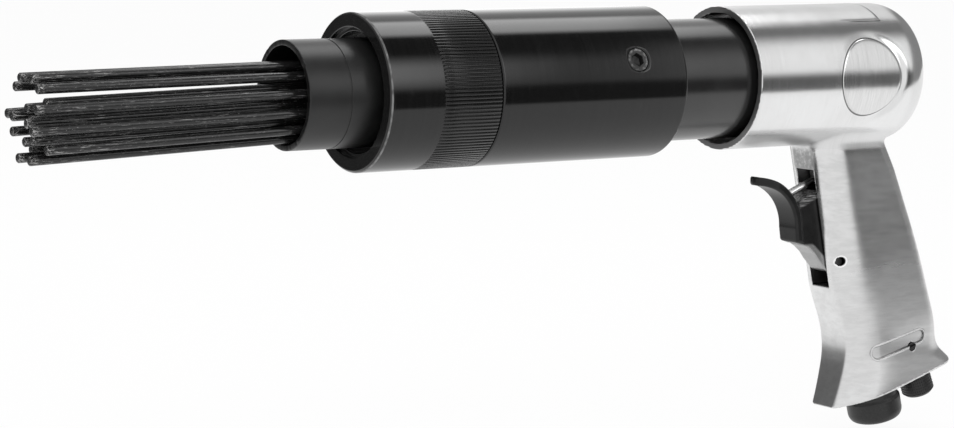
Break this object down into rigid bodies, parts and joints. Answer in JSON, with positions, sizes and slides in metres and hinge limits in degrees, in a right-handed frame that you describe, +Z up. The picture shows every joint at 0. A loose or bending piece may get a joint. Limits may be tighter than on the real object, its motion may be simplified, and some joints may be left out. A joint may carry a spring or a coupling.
{
  "type": "pneumatic needle scaler",
  "caption": "Hand-held air-driven needle scaler: a pistol grip with a trigger and a straight barrel that hammers a bundle of loose steel needles out of a nose tube.",
  "frame": {"origin": "on the barrel's axis, at the middle of the rear casing's length", "axes": "+X along the barrel from the needles' tips to the housing's round back, +Z up, away from the grip, +Y the tool's left side seen from behind it, looking forward along -X"},
  "size_m": [0.3651, 0.051, 0.154],
  "materials": {
    "blackened_steel": "satin black oxide, rubbed bright at edges",
    "needle_steel": "dark drawn wire with bright scrape marks",
    "hard_steel": "ground and lightly oiled",
    "bright_steel": "polished",
    "spring_steel": "dark wire",
    "cast_housing": "satin polished casting, brushed, with bright edges",
    "black_paint": "semi-gloss black",
    "rubber_black": "matte",
    "white_plastic": "smooth",
    "brass_mesh": "sintered"
  },
  "bodies": {
    "tool": {"front_sleeve": "blackened_steel", "rear_casing": "blackened_steel", "casing_set_screw": "blackened_steel", "return_spring": "spring_steel", "anvil_bumper": "rubber_black", "barrel": "blackened_steel", "barrel_o_ring": "rubber_black", "valve_case": "hard_steel", "valve_cap": "hard_steel", "valve_dowel": "hard_steel", "housing": "cast_housing", "trigger_pin": "hard_steel", "throttle_bushing": "hard_steel", "throttle_seat": "white_plastic", "throttle_spring": "spring_steel", "inlet_bushing": "black_paint", "inlet_screen": "brass_mesh", "regulator_pin": "hard_steel"},
    "nose": {"nose_tube": "blackened_steel"},
    "holder": {"needle_holder": "hard_steel"},
    "anvil": {"anvil": "hard_steel"},
    "piston": {"piston": "hard_steel"},
    "valve_disc": {"valve_disc": "bright_steel"},
    "trigger": {"trigger": "black_paint"},
    "throttle": {"throttle_stem": "bright_steel", "throttle_ball": "bright_steel"},
    "regulator": {"regulator_knob": "black_paint", "regulator_o_ring": "rubber_black"},
    "needle_01": {"needle_01": "needle_steel"},
    "needle_02": {"needle_02": "needle_steel"},
    "needle_03": {"needle_03": "needle_steel"},
    "needle_04": {"needle_04": "needle_steel"},
    "needle_05": {"needle_05": "needle_steel"},
    "needle_06": {"needle_06": "needle_steel"},
    "needle_07": {"needle_07": "needle_steel"},
    "needle_08": {"needle_08": "needle_steel"},
    "needle_09": {"needle_09": "needle_steel"},
    "needle_10": {"needle_10": "needle_steel"},
    "needle_11": {"needle_11": "needle_steel"},
    "needle_12": {"needle_12": "needle_steel"},
    "needle_13": {"needle_13": "needle_steel"},
    "needle_14": {"needle_14": "needle_steel"},
    "needle_15": {"needle_15": "needle_steel"},
    "needle_16": {"needle_16": "needle_steel"},
    "needle_17": {"needle_17": "needle_steel"},
    "needle_18": {"needle_18": "needle_steel"},
    "needle_19": {"needle_19": "needle_steel"}
  },
  "joints": [
    {"name": "nose_slide", "type": "slide", "parent": "tool", "child": "nose", "axis": [1, 0, 0], "range_m": [0, 0.008], "stiffness_N_per_m": 2000, "springref_m": -0.01, "deforming": ["return_spring"]},
    {"name": "holder_slide", "type": "slide", "parent": "tool", "child": "holder", "axis": [-1, 0, 0], "range_m": [0, 0.008], "stiffness_N_per_m": 2000, "springref_m": -0.01, "deforming": ["return_spring"]},
    {"name": "anvil_slide", "type": "slide", "parent": "tool", "child": "anvil", "axis": [-1, 0, 0], "range_m": [0, 0.008]},
    {"name": "piston_slide", "type": "slide", "parent": "tool", "child": "piston", "axis": [-1, 0, 0], "range_m": [0, 0.0356]},
    {"name": "valve_disc_slide", "type": "slide", "parent": "tool", "child": "valve_disc", "axis": [1, 0, 0], "range_m": [0, 0.0006]},
    {"name": "trigger_hinge", "type": "hinge", "parent": "tool", "child": "trigger", "pos_m": [0.1175, 0, -0.0663], "axis": [0, 1, 0], "range_deg": [0, 7], "stiffness_Nm_per_rad": 1.2, "springref_deg": -20.05},
    {"name": "throttle_slide", "type": "slide", "parent": "tool", "child": "throttle", "axis": [0.9272, 0, 0.3746], "range_m": [0, 0.00362], "deforming": ["throttle_spring"]},
    {"name": "regulator_turn", "type": "hinge", "parent": "tool", "child": "regulator", "pos_m": [0.16035, 0, -0.10963], "axis": [-0.3584, 0, 0.9336], "range_deg": [-90, 90]},
    {"name": "needle_01_slide", "type": "slide", "parent": "holder", "child": "needle_01", "axis": [-0.9997, 0, -0.0257], "range_m": [-0.0038, 0.004]},
    {"name": "needle_02_slide", "type": "slide", "parent": "holder", "child": "needle_02", "axis": [-0.9996, 0, -0.0269], "range_m": [-0.0074, 0.0004]},
    {"name": "needle_03_slide", "type": "slide", "parent": "holder", "child": "needle_03", "axis": [-0.9997, 0, -0.0234], "range_m": [-0.0001, 0.0077]},
    {"name": "needle_04_slide", "type": "slide", "parent": "holder", "child": "needle_04", "axis": [-0.9994, 0, -0.0332], "range_m": [-0.0037, 0.0041]},
    {"name": "needle_05_slide", "type": "slide", "parent": "holder", "child": "needle_05", "axis": [-0.9998, 0, -0.0191], "range_m": [-0.0071, 0.0007]},
    {"name": "needle_06_slide", "type": "slide", "parent": "holder", "child": "needle_06", "axis": [-0.9994, 0, -0.0353], "range_m": [-0.0046, 0.0032]},
    {"name": "needle_07_slide", "type": "slide", "parent": "holder", "child": "needle_07", "axis": [-0.9995, 0, -0.0302], "range_m": [-0.0044, 0.0034]},
    {"name": "needle_08_slide", "type": "slide", "parent": "holder", "child": "needle_08", "axis": [-0.9998, 0, -0.0186], "range_m": [-0.0062, 0.0016]},
    {"name": "needle_09_slide", "type": "slide", "parent": "holder", "child": "needle_09", "axis": [-0.9999, 0, -0.0125], "range_m": [-0.0045, 0.0033]},
    {"name": "needle_10_slide", "type": "slide", "parent": "holder", "child": "needle_10", "axis": [-0.9999, 0, -0.012], "range_m": [-0.0043, 0.0035]},
    {"name": "needle_11_slide", "type": "slide", "parent": "holder", "child": "needle_11", "axis": [-0.9999, 0, -0.0119], "range_m": [-0.0057, 0.0021]},
    {"name": "needle_12_slide", "type": "slide", "parent": "holder", "child": "needle_12", "axis": [-0.9999, 0, -0.0125], "range_m": [-0.0052, 0.0026]},
    {"name": "needle_13_slide", "type": "slide", "parent": "holder", "child": "needle_13", "axis": [-0.9995, 0, -0.0315], "range_m": [-0.0068, 0.001]},
    {"name": "needle_14_slide", "type": "slide", "parent": "holder", "child": "needle_14", "axis": [-0.9995, 0, -0.0317], "range_m": [-0.0053, 0.0025]},
    {"name": "needle_15_slide", "type": "slide", "parent": "holder", "child": "needle_15", "axis": [-0.9993, 0, -0.0367], "range_m": [-0.0005, 0.0073]},
    {"name": "needle_16_slide", "type": "slide", "parent": "holder", "child": "needle_16", "axis": [-0.9995, 0, -0.0304], "range_m": [-0.0067, 0.0011]},
    {"name": "needle_17_slide", "type": "slide", "parent": "holder", "child": "needle_17", "axis": [-0.9994, 0, -0.0334], "range_m": [-0.0054, 0.0024]},
    {"name": "needle_18_slide", "type": "slide", "parent": "holder", "child": "needle_18", "axis": [-0.9995, 0, -0.0306], "range_m": [-0.0021, 0.0057]},
    {"name": "needle_19_slide", "type": "slide", "parent": "holder", "child": "needle_19", "axis": [-0.9997, 0, -0.0229], "range_m": [-0.0078, 0]}
  ],
  "couplings": [
    {"joint": "anvil_slide", "follows": "holder_slide", "ratio": 1},
    {"joint": "throttle_slide", "follows": "trigger_hinge", "m_per_rad": 0.0295}
  ]
}
